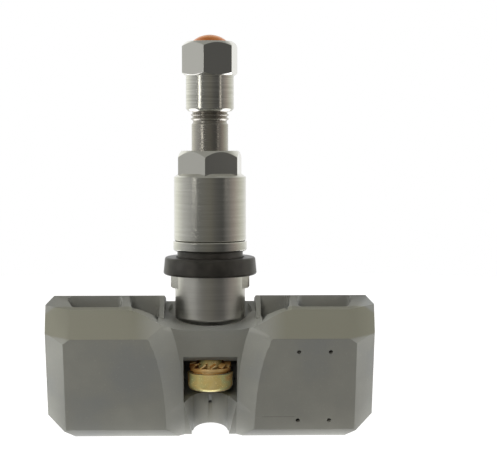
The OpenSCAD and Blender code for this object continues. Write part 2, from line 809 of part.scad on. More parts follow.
// The low middle of the top: a saddle at the front, less two ribs, and a notch behind the stem
module saddle_cut() {
    steps = 16;
    run = saddle_top_x - saddle_floor_x;
    curve = [for (i = [0 : steps])
        let (x = saddle_floor_x + run * i / steps) [x, -saddle_z(x)]];
    mirrored = [for (i = [steps : -1 : 0]) [-curve[i][0], curve[i][1]]];
    top = -wing_top_z + past;
    difference() {
        from_front(-face_y - past, -pocket_back_y)
            polygon(concat([[-saddle_top_x, top]], mirrored, curve, [[saddle_top_x, top]]));
        both_sides() cup_rib();
    }
    translate([-rear_notch_x, -pocket_back_y - slip, -cup_rim_z])
        cube([2 * rear_notch_x, back_y + pocket_back_y + past, cup_rim_z]);
    translate([-rear_notch_x, back_y / 2, -rear_lip_z])
        cube([2 * rear_notch_x, back_y, rear_lip_z]);
    translate([-0.98 * body_d / 2, back_y / 2, -seat_relief_z])
        cube([0.98 * body_d, back_y, seat_relief_z]);
}

// The rib between the cup and the right wing's inner pocket, sloping down to the front
module cup_rib() {
    translate([(rear_notch_x + pocket_inner_x) / 2, 0, 0])
        across(pocket_inner_x - rear_notch_x)
            polygon([[-pocket_back_y + past, -wing_top_z], [-pocket_back_y, -wing_top_z],
                     [-pocket_front_y, -saddle_z(pocket_inner_x)], [-pocket_front_y, -2 * cup_rim_z],
                     [-pocket_back_y + past, -2 * cup_rim_z]]);
}

// The two pockets in the top of the right wing, with the rib between them
module pocket_cuts() {
    pocket_cut(pocket_inner_x, pocket_rib_x - pocket_rib_t / 2, 0);
    pocket_cut(pocket_rib_x + pocket_rib_t / 2, pocket_outer_x, pocket_slant);
}

// One pocket between two half widths, with rounded corners and a slant at its outer end
module pocket_cut(inner_x, outer_x, slant) {
    translate([0, 0, -pocket_floor_z])
        linear_extrude(pocket_floor_z)
            offset(r = pocket_corner_r, $fn = 24)
                offset(delta = -pocket_corner_r)
                    polygon([[inner_x, -pocket_front_y], [outer_x - slant / 2, -pocket_front_y],
                             [outer_x + slant / 2, -pocket_back_y], [inner_x, -pocket_back_y]]);
}

// The cup for the ball, with its round recess
module cup_cut() {
    sphere(r = ball_r + ball_gap);
    translate([0, 0, -rear_lip_z]) cylinder(d = cup_d, h = rear_lip_z + ball_r);
}

// The slot through the seat wall that lets the screw follow the tilt
module screw_slot() {
    half = screw_d / 2 + 0.2;
    far = seat_under_r + past;
    least = housing_lean - tilt_range;
    most = housing_lean + tilt_range;
    across(2 * half)
        polygon([slot_corner(least, 0, -half), slot_corner(least, far, -half),
                 slot_corner(most, far, half), slot_corner(most, 0, half)]);
}

// A point of the slot's side view, given its lean, its distance down and its offset forward
function slot_corner(lean, down, forward) =
    [-down * sin(lean) - forward * cos(lean), -down * cos(lean) + forward * sin(lean)];

// The window for the screw's head, curved about the ball's centre at its roof and floor, with a flat
// step in its floor at the front
module window_cut() {
    front = face_y + past;
    intersection() {
        across(window_w)
            difference() {
                circle(r = window_floor_r);
                circle(r = seat_under_r);
            }
        translate([-window_w / 2, -front, -foot_z])
            cube([window_w, front + window_back_y, foot_z - ball_r]);
    }
    translate([-window_w / 2, -front, -window_foot_z])
        cube([window_w, front - window_foot_z * tan(channel_lean), window_foot_z - seat_under_r]);
}

// The screwdriver's channel and the funnel that opens it to the front
module channel_cut() {
    front = face_y + past;
    foot = foot_z + past;
    mouth_z = foot_z - 0.3 * foot_bevel_h;
    rotate([-channel_lean, 0, 0])
        translate([0, 0, -foot_z / cos(channel_lean) - 3 * past])
            cylinder(d = channel_d, h = foot_z - seat_under_r);
    hull() {
        translate([0, 0, -window_foot_z]) linear_extrude(0.01)
            polygon([[-window_w / 2, -front], [window_w / 2, -front], [window_w / 2, -valley_y],
                     [channel_d / 2, -window_foot_z * tan(channel_lean)],
                     [-channel_d / 2, -window_foot_z * tan(channel_lean)],
                     [-window_w / 2, -valley_y]]);
        translate([-channel_d / 2, -front, -mouth_z])
            cube([channel_d, front - mouth_z * tan(channel_lean), 0.01]);
        translate([-channel_d / 2, -front, -foot])
            cube([channel_d, front - mouth_z * tan(channel_lean), 0.01]);
    }
}

// Front view of the compartment, grown or shrunk by a margin
module bay_front(margin, foot_margin) {
    x0 = bay_inner_x - margin;
    x1 = bay_outer_x + margin;
    top = -bay_top_z + margin;
    foot = -bay_foot_z - foot_margin;
    bridge = -bridge_top_z + margin;
    cut_w = 0.82 * low_corner_w;
    cut_h = 0.81 * low_corner_h;
    polygon([[x0, top], [x1, top], [x1, foot + cut_h], [x1 - cut_w, foot], [-x1 + cut_w, foot],
             [-x1, foot + cut_h], [-x1, top], [-x0, top], [-x0, bridge], [x0, bridge]]);
}

// The compartment for the electronics, open at the back, with a ledge for the cover
module bay_cut() {
    intersection() {
        from_front(-bay_front_y, back_y + past) bay_front(0, 0);
        union() {
            both_sides() translate([bay_inner_x, -bay_front_y, -foot_z])
                cube([half_w, back_y + bay_front_y + past, foot_z]);
            translate([-half_w, bridge_floor_y, -foot_z])
                cube([housing_w, back_y, foot_z]);
        }
    }
    from_front(cover_inner_y, back_y + past) bay_front(cover_ledge, cover_ledge);
}

// Small holes: four through the right wing's face, one in the channel's wall and the pressure port
module small_holes() {
    hole_d = 0.85;
    left_x = 17.6;
    right_x = 23.9;
    upper_z = 9.2;
    lower_z = 24.2;
    for (x = [left_x, right_x], z = [upper_z, lower_z])
        translate([x, -face_y - past, -z]) rotate([-90, 0, 0])
            cylinder(d = hole_d, h = 3 + past);
    translate([0, -channel_d, -lower_z]) rotate([-90, 0, 0])
        cylinder(d = hole_d, h = channel_d - inner_wall_t);
    translate([sensor_x, -pocket_back_y - past, -sensor_z]) rotate([-90, 0, 0])
        cylinder(d = port_d, h = inner_wall_t + 2 * past);
}

// The moulded housing
module housing() {
    color("#6b6c67")
        in_housing()
            difference() {
                housing_block();
                both_sides() {
                    front_corner_cut();
                    rear_corner_cut();
                    pocket_cuts();
                }
                valley_cut();
                saddle_cut();
                cup_cut();
                screw_slot();
                window_cut();
                channel_cut();
                bay_cut();
                small_holes();
            }
}

// The cover welded into the housing's back
module back_cover() {
    fit = 0.05;
    color("#5d5e5a")
        in_housing()
            from_front(cover_inner_y, back_y) bay_front(cover_ledge - fit, cover_ledge - fit);
}

// The circuit board, cut out around the window
module circuit_board() {
    color("darkgreen")
        in_housing()
            from_front(board_front_y, board_back_y) bay_front(-board_gap, -board_gap);
}

// A block on the board's front face, given its middle, size and height
module on_board(x, z, width, length, height) {
    translate([x - width / 2, board_front_y - height, -z - length / 2])
        cube([width, height, length]);
}

// A round lying along the depth of the housing
module along_depth(x, z, diameter, front, back) {
    translate([x, back, -z]) rotate([90, 0, 0]) cylinder(d = diameter, h = back - front);
}

// The coin cell: a can and the smaller cap at its back
module coin_cell() {
    step = 0.6;
    color("silver")
        in_housing() {
            along_depth(-cell_x, cell_z, cell_d, -cell_front_y, cell_back_y - step);
            along_depth(-cell_x, cell_z, 0.84 * cell_d, cell_back_y - step, cell_back_y);
        }
}

// The tab on the cell's front, led past the cell's edge to the board
module battery_tab_plus() {
    color("lightgray")
        in_housing()
            translate([-cell_x, 0, -cell_z]) rotate([0, 45, 0]) {
                battery_strip(-cell_front_y - tab_t);
                translate([tab_reach, -cell_front_y - tab_t, -tab_w / 2])
                    cube([tab_t, board_front_y + cell_front_y + tab_t, tab_w]);
            }
}

// The tab between the cell's back and the board
module battery_tab_minus() {
    color("lightgray")
        in_housing()
            translate([-cell_x, 0, -cell_z]) rotate([0, -45, 0]) {
                battery_strip(cell_back_y);
                translate([tab_reach, cell_back_y, -tab_w / 2])
                    cube([tab_t, board_front_y - cell_back_y, tab_w]);
            }
}

// The flat length of a battery tab, from the cell's middle out past its edge
module battery_strip(depth) {
    translate([tab_reach - cell_d / 2 - tab_overlap, depth, -tab_w / 2])
        cube([cell_d / 2 + tab_overlap + tab_t, tab_t, tab_w]);
}

// The pressure sensor: a moulded body with a metal lid and its port
module pressure_sensor() {
    lid_t = 0.3;
    color("#20201e")
        in_housing()
            difference() {
                union() {
                    on_board(sensor_x, sensor_z, sensor_w, sensor_w, sensor_h - lid_t);
                    on_board(sensor_x, sensor_z, sensor_w - 1, sensor_w - 1, sensor_h);
                }
                along_depth(sensor_x, sensor_z, port_d, board_front_y - sensor_h - past,
                            board_front_y - sensor_h / 2);
            }
}

// The seal between the pressure sensor and the port through the wall
module port_seal() {
    color("orangered")
        in_housing()
            difference() {
                along_depth(sensor_x, sensor_z, port_seal_d, -bay_front_y, board_front_y - sensor_h);
                along_depth(sensor_x, sensor_z, port_d, -bay_front_y - past,
                            board_front_y - sensor_h + past);
            }
}

// The controller chip with a row of legs on each side
module controller_chip() {
    legs = 7;
    leg_w = 0.35;
    leg_reach = 0.8;
    leg_t = 0.15;
    lift = 0.1;
    color("#20201e")
        in_housing() {
            translate([0, -lift, 0]) on_board(chip_x, chip_z, chip_w, chip_w, chip_h - lift);
            for (i = [0 : legs - 1])
                on_board(chip_x, chip_z + (i - (legs - 1) / 2) * chip_w / legs,
                         chip_w + 2 * leg_reach, leg_w, leg_t);
        }
}

// The crystal: a metal can on a wider base
module crystal() {
    base_w = 5;
    base_l = 3.2;
    base_h = 0.5;
    can_h = 1.1;
    rim = 0.6;
    color("silver")
        in_housing() {
            on_board(chip_x, crystal_z, base_w, base_l, base_h);
            on_board(chip_x, crystal_z, base_w - rim, base_l - rim, can_h);
        }
}

// The ferrite core of the wake-up coil, with its two end flanges
module coil_core() {
    flange_w = 1.23 * coil_d;
    flange_l = 0.125 * coil_length;
    core_w = 0.4 * coil_d;
    middle = flange_w / 2;
    color("#3a3a3c")
        in_housing() {
            for (s = [-1, 1])
                on_board(coil_x, coil_z + s * (coil_length - flange_l) / 2, flange_w, flange_l, flange_w);
            translate([0, -middle + core_w / 2, 0])
                on_board(coil_x, coil_z, core_w, coil_length, core_w);
        }
}

// The winding round the coil's core
module coil_winding() {
    winding_l = 0.74 * coil_length;
    middle = 1.23 * coil_d / 2;
    bore = 0.57 * coil_d;
    color("#a8622a")
        in_housing()
            translate([coil_x, board_front_y - middle, -coil_z])
                ring(coil_d, bore, -winding_l / 2, winding_l / 2);
}

// The aerial: a strip that stands off the board on two legs
module aerial() {
    strip_t = 0.3;
    inset = 0.074 * bay_w;
    left_x = bay_inner_x + inset;
    right_x = bay_outer_x - inset;
    color("#b87a4a")
        in_housing() {
            for (x = [left_x, right_x])
                on_board(x, aerial_z, strip_t, aerial_w, aerial_h);
            translate([0, -aerial_h + strip_t, 0])
                on_board((left_x + right_x) / 2, aerial_z, right_x - left_x + strip_t, aerial_w, strip_t);
        }
}

// The small capacitors along the board's lower edge
module capacitors() {
    pitch = 0.115 * bay_w;
    cap_w = 0.9;
    cap_l = 1.7;
    cap_h = 0.9;
    inset = 1.6;
    color("tan")
        in_housing()
            for (i = [0 : 4])
                on_board(bay_inner_x + inset + i * pitch, bay_foot_z - inset, cap_w, cap_l, cap_h);
}

cap_shell();
cap_plug();
cap_seal();
valve_stem();
core_barrel();
core_gasket();
core_pin();
core_seat();
core_spring();
collar_nut();
nut_washer();
rim_seal();
fixing_screw();
spring_washer();
lock_washer();
housing();
back_cover();
circuit_board();
coin_cell();
battery_tab_plus();
battery_tab_minus();
pressure_sensor();
port_seal();
controller_chip();
crystal();
coil_core();
coil_winding();
aerial();
capacitors();
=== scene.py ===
"""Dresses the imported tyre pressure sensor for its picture.

Metres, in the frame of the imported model: Z runs up the valve stem, and the housing's face looks
along -Y. Ten solids are replaced by pieces with rounded edges and the detail that their making
leaves. The others stay as they were packed, and every one gets its finish.
"""
import json
import math

import bmesh
import bpy
from mathutils import Matrix, Vector


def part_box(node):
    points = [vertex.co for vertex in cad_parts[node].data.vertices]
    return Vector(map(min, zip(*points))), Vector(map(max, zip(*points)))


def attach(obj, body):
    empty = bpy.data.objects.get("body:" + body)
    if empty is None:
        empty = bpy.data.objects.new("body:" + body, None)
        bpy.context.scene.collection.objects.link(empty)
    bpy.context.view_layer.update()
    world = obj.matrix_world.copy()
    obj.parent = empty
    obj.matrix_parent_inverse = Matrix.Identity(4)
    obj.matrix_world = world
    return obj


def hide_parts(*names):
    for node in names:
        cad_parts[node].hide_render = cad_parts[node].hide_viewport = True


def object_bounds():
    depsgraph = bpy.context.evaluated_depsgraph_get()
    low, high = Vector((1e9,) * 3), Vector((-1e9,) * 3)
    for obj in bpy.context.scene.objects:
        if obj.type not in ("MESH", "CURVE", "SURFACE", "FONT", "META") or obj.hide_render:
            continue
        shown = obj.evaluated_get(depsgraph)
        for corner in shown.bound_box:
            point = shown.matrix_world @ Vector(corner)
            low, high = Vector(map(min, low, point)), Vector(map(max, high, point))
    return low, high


MM = 0.001

# The housing leans back about the centre of the stem's ball, which lies 6 mm below the origin
LEAN = math.radians(16)
LEAN_COS = math.cos(LEAN)
LEAN_SIN = math.sin(LEAN)
BALL_DROP = 6.0

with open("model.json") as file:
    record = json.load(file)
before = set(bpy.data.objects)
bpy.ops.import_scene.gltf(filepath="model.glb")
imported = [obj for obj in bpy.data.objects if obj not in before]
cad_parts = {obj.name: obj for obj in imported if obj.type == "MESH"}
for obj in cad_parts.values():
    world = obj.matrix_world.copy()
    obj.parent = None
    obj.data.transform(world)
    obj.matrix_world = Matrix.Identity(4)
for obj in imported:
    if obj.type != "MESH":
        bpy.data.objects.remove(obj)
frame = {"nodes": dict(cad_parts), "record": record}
nodes = frame["nodes"]
cad_box = [list(corner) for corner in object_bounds()]


# Materials

# Heights on the stem, in mm, over which the neck's painted shade begins and the satin foot ends
NECK_SHADE_FADE = (8.0, 12.0)
SATIN_FADE = (0.0, 10.0)
SATIN_ROUGHER = 0.08

# How far the lathe lines wander round the stem, as a share of the way across it
LINE_DRIFT = 0.03

# Where the housing's slopes lie, which take a painted shade, in mm in its leaning frame: above a height,
# before a depth and out from the stem, each as the two ends of a soft edge
SLOPE_ABOVE = (-6.5, -6.2)
SLOPE_BEFORE = (-7.5, -7.8)
SLOPE_BESIDE = (11.0, 15.0)

# The scratched line on the housing: on each axis its middle, half length and soft end, in mm
SCRATCH = (("X", 13.8, 3.0, 0.6), ("Z", -31.9, 0.05, 0.05), ("Y", -5.4, 1.6, 0.2))
SCRATCH_TONE = 0.5


def linear(hex_colour):
    """The linear colour of an sRGB hex value such as "#6b6c67"."""
    values = [int(hex_colour[i:i + 2], 16) / 255 for i in (1, 3, 5)]
    return [v / 12.92 if v <= 0.04045 else ((v + 0.055) / 1.055) ** 2.4 for v in values] + [1.0]


def add(tree, kind, inputs=None, **settings):
    """Adds a node, sets its properties, and sets or links its inputs."""
    node = tree.nodes.new(kind)
    for name, value in settings.items():
        setattr(node, name, value)
    for name, value in (inputs or {}).items():
        if isinstance(value, bpy.types.NodeSocket):
            tree.links.new(value, node.inputs[name])
        else:
            node.inputs[name].default_value = value
    return node


def colour_steps(ramp, stops):
    """Gives a colour ramp its stops, as (place, hex colour) pairs, and returns its colour."""
    elements = ramp.color_ramp.elements
    while len(elements) > 1:
        elements.remove(elements[-1])
    elements[0].position, elements[0].color = stops[0][0], linear(stops[0][1])
    for place, colour in stops[1:]:
        elements.new(place).color = linear(colour)
    return ramp.outputs["Color"]


def new_finish(name, **sockets):
    """A material with one Principled shader, whose constant sockets are set here."""
    material = bpy.data.materials.new(name)
    material.use_nodes = True
    tree = material.node_tree
    shader = tree.nodes["Principled BSDF"]
    for socket, value in sockets.items():
        shader.inputs[socket.replace("_", " ")].default_value = value
    return material, tree, shader


def millimetres(tree, turn=(0, 0, 0)):
    """Object coordinates in millimetres, so that a pattern's scale counts per millimetre."""
    place = add(tree, "ShaderNodeTexCoord").outputs["Object"]
    mapping = {"Vector": place, "Rotation": turn, "Scale": (1000, 1000, 1000)}
    return add(tree, "ShaderNodeMapping", mapping).outputs["Vector"]


def relief(tree, shader, height, depth_mm, strength=1.0):
    """Raises the surface by a pattern of that depth."""
    bump = add(tree, "ShaderNodeBump", {
        "Height": height, "Distance": depth_mm * MM, "Strength": strength})
    tree.links.new(bump.outputs["Normal"], shader.inputs["Normal"])


def roughness_range(tree, shader, pattern, low, high):
    """Lets the roughness follow a pattern, and returns it."""
    spread = add(tree, "ShaderNodeMapRange", {
        "Value": pattern, "From Min": 0.3, "From Max": 0.7, "To Min": low, "To Max": high})
    tree.links.new(spread.outputs["Result"], shader.inputs["Roughness"])
    return spread.outputs["Result"]


def lathe_lines(tree, per_mm):
    """A value that changes along the stem and outwards from it, as a turning tool leaves it, and
    wanders a little on the way round."""
    split = add(tree, "ShaderNodeSeparateXYZ", {"Vector": millimetres(tree)})
    flat = add(tree, "ShaderNodeCombineXYZ", {"X": split.outputs["X"], "Y": split.outputs["Y"]})
    radius = add(tree, "ShaderNodeVectorMath", {0: flat.outputs["Vector"]}, operation="LENGTH")
    feed = add(tree, "ShaderNodeMath", {
        0: split.outputs["Z"], 1: radius.outputs["Value"]}, operation="ADD")
    drift = add(tree, "ShaderNodeVectorMath", {
        0: flat.outputs["Vector"], "Scale": LINE_DRIFT}, operation="SCALE")
    slow = add(tree, "ShaderNodeSeparateXYZ", {"Vector": drift.outputs["Vector"]})
    line = add(tree, "ShaderNodeCombineXYZ", {
        "X": slow.outputs["X"], "Y": slow.outputs["Y"], "Z": feed.outputs["Value"]})
    noise = add(tree, "ShaderNodeTexNoise", {
        "Vector": line.outputs["Vector"], "Scale": per_mm, "Detail": 2.0, "Roughness": 0.5})
    return noise.outputs["Fac"]


def off_the_flats(tree, lines, height, foot, top):
    """The lathe lines, with none where flats are milled between two heights in mm."""
    off = add(tree, "ShaderNodeMath", {0: height, 1: (foot + top) / 2}, operation="SUBTRACT")
    gap = add(tree, "ShaderNodeMath", {0: off.outputs["Value"]}, operation="ABSOLUTE")
    beyond = add(tree, "ShaderNodeMath", {
        0: gap.outputs["Value"], 1: (top - foot) / 2}, operation="GREATER_THAN")
    shown = add(tree, "ShaderNodeMath", {
        0: lines, 1: beyond.outputs["Value"]}, operation="MULTIPLY")
    return shown.outputs["Value"]


def turned_alloy(name, dark, light, rough, depth_mm, flats=None, painted_neck_shade=None):
    """Aluminium alloy, turned and nickel plated: grey white metal with fine rings round the axis, about
    0.3 mm apart, and none on milled flats between two heights. With a painted neck shade, the metal is
    painted darker higher up, standing in for the dimmer reflection the neck shows, and is more satin
    towards its foot."""
    material, tree, shader = new_finish(name, Metallic=1.0)
    lines = lathe_lines(tree, per_mm=3.0)
    height = add(tree, "ShaderNodeSeparateXYZ", {"Vector": millimetres(tree)}).outputs["Z"]
    if flats:
        lines = off_the_flats(tree, lines, height, *flats)
    ramp = add(tree, "ShaderNodeValToRGB", {"Fac": lines})
    colour = colour_steps(ramp, [(0.0, light), (0.2, dark), (0.3, dark), (0.7, light)])
    roughness = roughness_range(tree, shader, lines, rough - 0.03, rough + 0.03)
    # Painted shade: the neck's darker colour stands in for its dimmer reflection
    if painted_neck_shade:
        above = add(tree, "ShaderNodeMapRange", {
            "Value": height, "From Min": NECK_SHADE_FADE[0], "From Max": NECK_SHADE_FADE[1]})
        mixed = add(tree, "ShaderNodeMix", {
            "Factor": above.outputs["Result"], "A": colour, "B": linear(painted_neck_shade)}, data_type="RGBA")
        colour = mixed.outputs["Result"]
        satin = add(tree, "ShaderNodeMapRange", {
            "Value": height, "From Min": SATIN_FADE[0], "From Max": SATIN_FADE[1],
            "To Min": SATIN_ROUGHER, "To Max": 0.0})
        total = add(tree, "ShaderNodeMath", {
            0: roughness, 1: satin.outputs["Result"]}, operation="ADD")
        tree.links.new(total.outputs["Value"], shader.inputs["Roughness"])
    tree.links.new(colour, shader.inputs["Base Color"])
    relief(tree, shader, lines, depth_mm)
    return material


def anodised_copper(name):
    """Aluminium, turned and dyed copper in the anodising bath: orange metal with fine rings under
    a thin clear skin."""
    material, tree, shader = new_finish(name, Metallic=0.6, Coat_Weight=0.2, Coat_Roughness=0.2)
    lines = lathe_lines(tree, per_mm=4.0)
    ramp = add(tree, "ShaderNodeValToRGB", {"Fac": lines})
    tree.links.new(colour_steps(ramp, [(0.3, "#b8682c"), (0.7, "#e0974f")]), shader.inputs["Base Color"])
    roughness_range(tree, shader, lines, 0.24, 0.4)
    relief(tree, shader, lines, 0.004)
    return material


def yellow_zinc(name, stops, rough, depth_mm):
    """Zinc plate with a yellow chromate film: gold that drifts to green, pink and blue with the
    film's thickness and the slant at which it is seen. The film is a dull gel, so the finish is
    only half metallic."""
    material, tree, shader = new_finish(name, Metallic=0.5)
    point = millimetres(tree)
    film = add(tree, "ShaderNodeTexNoise", {
        "Vector": point, "Scale": 0.35, "Detail": 2.0, "Distortion": 0.6})
    edge = add(tree, "ShaderNodeLayerWeight", {"Blend": 0.35})
    thick = add(tree, "ShaderNodeMath", {
        0: film.outputs["Fac"], 1: edge.outputs["Facing"]}, operation="ADD")
    shift = add(tree, "ShaderNodeMapRange", {
        "Value": thick.outputs["Value"], "From Min": 0.3, "From Max": 1.5})
    ramp = add(tree, "ShaderNodeValToRGB", {"Fac": shift.outputs["Result"]})
    tree.links.new(colour_steps(ramp, stops), shader.inputs["Base Color"])
    grain = add(tree, "ShaderNodeTexNoise", {"Vector": point, "Scale": 5.0, "Detail": 4.0})
    roughness_range(tree, shader, grain.outputs["Fac"], rough - 0.03, rough + 0.04)
    relief(tree, shader, grain.outputs["Fac"], depth_mm)
    return material


def painted_slope_shade(tree, point):
    """1 on the slopes above the housing's face, to both sides of the stem, where their painted shade
    goes, and 0 elsewhere.
    """
    up = add(tree, "ShaderNodeVectorMath", {
        0: point, 1: (0, -LEAN_SIN, LEAN_COS)}, operation="DOT_PRODUCT")
    above = add(tree, "ShaderNodeMapRange", {
        "Value": up.outputs["Value"], "From Min": SLOPE_ABOVE[0] - BALL_DROP * LEAN_COS,
        "From Max": SLOPE_ABOVE[1] - BALL_DROP * LEAN_COS})
    back = add(tree, "ShaderNodeVectorMath", {
        0: point, 1: (0, LEAN_COS, LEAN_SIN)}, operation="DOT_PRODUCT")
    front = add(tree, "ShaderNodeMapRange", {
        "Value": back.outputs["Value"], "From Min": SLOPE_BEFORE[0] - BALL_DROP * LEAN_SIN,
        "From Max": SLOPE_BEFORE[1] - BALL_DROP * LEAN_SIN})
    across = add(tree, "ShaderNodeMath", {
        0: add(tree, "ShaderNodeSeparateXYZ", {"Vector": point}).outputs["X"]}, operation="ABSOLUTE")
    wing = add(tree, "ShaderNodeMapRange", {
        "Value": across.outputs["Value"], "From Min": SLOPE_BESIDE[0], "From Max": SLOPE_BESIDE[1]})
    high = add(tree, "ShaderNodeMath", {
        0: above.outputs["Result"], 1: front.outputs["Result"]}, operation="MULTIPLY")
    slopes = add(tree, "ShaderNodeMath", {
        0: high.outputs["Value"], 1: wing.outputs["Result"]}, operation="MULTIPLY")
    return slopes.outputs["Value"]


def scratched_line(tree):
    """Half tone on the fine line that is scratched between the two lower holes of the face, and 0
    elsewhere."""
    point = add(tree, "ShaderNodeTexCoord").outputs["Object"]
    split = add(tree, "ShaderNodeSeparateXYZ", {"Vector": point})
    mark = SCRATCH_TONE
    for axis, middle, half, soft in SCRATCH:
        off = add(tree, "ShaderNodeMath", {
            0: split.outputs[axis], 1: middle * MM}, operation="SUBTRACT")
        gap = add(tree, "ShaderNodeMath", {0: off.outputs["Value"]}, operation="ABSOLUTE")
        inside = add(tree, "ShaderNodeMapRange", {
            "Value": gap.outputs["Value"], "From Min": (half + soft) * MM, "From Max": half * MM})
        shown = add(tree, "ShaderNodeMath", {
            0: inside.outputs["Result"], 1: mark}, operation="MULTIPLY")
        mark = shown.outputs["Value"]
    return mark


def moulded_nylon(name, colour, cooler, warmer, rough, slope=None, scratch=None):
    """Glass filled nylon, moulded in a spark eroded tool: an even matt grain of about 0.1 mm, drawn at
    0.3 mm so that it shows, with faint flow clouds and paler specks of fibre. The slopes over the face
    can take a painted shade, a darker olive tone that stands in for how the light from above falls on
    them, and the face a scratched line."""
    material, tree, shader = new_finish(name, IOR=1.53)
    point = millimetres(tree)
    clouds = add(tree, "ShaderNodeTexNoise", {
        "Vector": point, "Scale": 0.09, "Detail": 3.0, "Roughness": 0.55})
    ramp = add(tree, "ShaderNodeValToRGB", {"Fac": clouds.outputs["Fac"]})
    body = colour_steps(ramp, [(0.32, cooler), (0.5, colour), (0.68, warmer)])
    fibre = add(tree, "ShaderNodeTexNoise", {"Vector": point, "Scale": 2.6, "Detail": 2.0})
    speck = add(tree, "ShaderNodeMapRange", {
        "Value": fibre.outputs["Fac"], "From Min": 0.62, "From Max": 0.8, "To Max": 0.25})
    shown = add(tree, "ShaderNodeMix", {
        "Factor": speck.outputs["Result"], "A": body, "B": linear("#8f908a")},
        data_type="RGBA").outputs["Result"]
    grain = add(tree, "ShaderNodeTexNoise", {
        "Vector": point, "Scale": 3.3, "Detail": 3.0, "Roughness": 0.65}).outputs["Fac"]
    height = grain
    # Painted shade on the slopes: a darker olive tone that stands in for how the light from above falls
    # on them
    if slope:
        shown = add(tree, "ShaderNodeMix", {
            "Factor": painted_slope_shade(tree, point), "A": shown, "B": linear(slope)},
            data_type="RGBA").outputs["Result"]
    if scratch:
        mark = scratched_line(tree)
        shown = add(tree, "ShaderNodeMix", {
            "Factor": mark, "A": shown, "B": linear(scratch)}, data_type="RGBA").outputs["Result"]
        height = add(tree, "ShaderNodeMath", {0: height, 1: mark}, operation="SUBTRACT").outputs["Value"]
    tree.links.new(shown, shader.inputs["Base Color"])
    roughness_range(tree, shader, grain, rough - 0.06, rough + 0.08)
    relief(tree, shader, height, 0.012, 0.6)
    return material


def rubber(name, colour, dusty, rough):
    """Rubber, compression moulded: dull, with a faint dusty bloom in patches."""
    material, tree, shader = new_finish(name, IOR=1.48)
    point = millimetres(tree)
    bloom = add(tree, "ShaderNodeTexNoise", {"Vector": point, "Scale": 0.5, "Detail": 4.0})
    ramp = add(tree, "ShaderNodeValToRGB", {"Fac": bloom.outputs["Fac"]})
    tree.links.new(colour_steps(ramp, [(0.35, colour), (0.75, dusty)]), shader.inputs["Base Color"])
    grain = add(tree, "ShaderNodeTexNoise", {"Vector": point, "Scale": 6.0, "Detail": 3.0})
    roughness_range(tree, shader, grain.outputs["Fac"], rough - 0.08, rough + 0.08)
    relief(tree, shader, grain.outputs["Fac"], 0.015, 0.7)
    return material


def one_grain(material, tree, shader, dark, light, roughness, scale, depth_mm):
    """Lets one noise set the colour, the roughness and the relief together."""
    grain = add(tree, "ShaderNodeTexNoise", {
        "Vector": millimetres(tree), "Scale": scale, "Detail": 4.0}).outputs["Fac"]
    ramp = add(tree, "ShaderNodeValToRGB", {"Fac": grain})
    tree.links.new(colour_steps(ramp, [(0.35, dark), (0.65, light)]), shader.inputs["Base Color"])
    roughness_range(tree, shader, grain, *roughness)
    relief(tree, shader, grain, depth_mm)
    return material


def plain_metal(name, dark, light, rough, scale=1.5):
    """Sheet, wire or bar metal: even, with soft clouds from plating and handling."""
    made = new_finish(name, Metallic=1.0)
    return one_grain(*made, dark, light, (rough - 0.06, rough + 0.08), scale, depth_mm=0.006)


def dull_solid(name, dark, light, rough, ior, scale=3.0, depth_mm=0.01):
    """Moulded, pressed or fired stuff: dull, with a fine grain."""
    made = new_finish(name, IOR=ior)
    return one_grain(*made, dark, light, (rough - 0.08, rough + 0.08), scale, depth_mm)


def solder_mask(name):
    """Glass epoxy board under green solder mask: smooth, with lighter lines where copper lies
    beneath."""
    material, tree, shader = new_finish(name, IOR=1.5, Roughness=0.28)
    upright = add(tree, "ShaderNodeVectorRotate", {
        "Vector": millimetres(tree, turn=(-LEAN, 0, 0)), "Angle": math.radians(90)},
        rotation_type="X_AXIS")
    tracks = add(tree, "ShaderNodeTexBrick", {
        "Vector": upright.outputs["Vector"], "Color1": linear("#0f4a24"),
        "Color2": linear("#12552a"), "Mortar": linear("#1f6f3a"), "Scale": 1.0,
        "Mortar Size": 0.12, "Brick Width": 2.6, "Row Height": 1.1})
    tree.links.new(tracks.outputs["Color"], shader.inputs["Base Color"])
    relief(tree, shader, tracks.outputs["Fac"], 0.03)
    return material


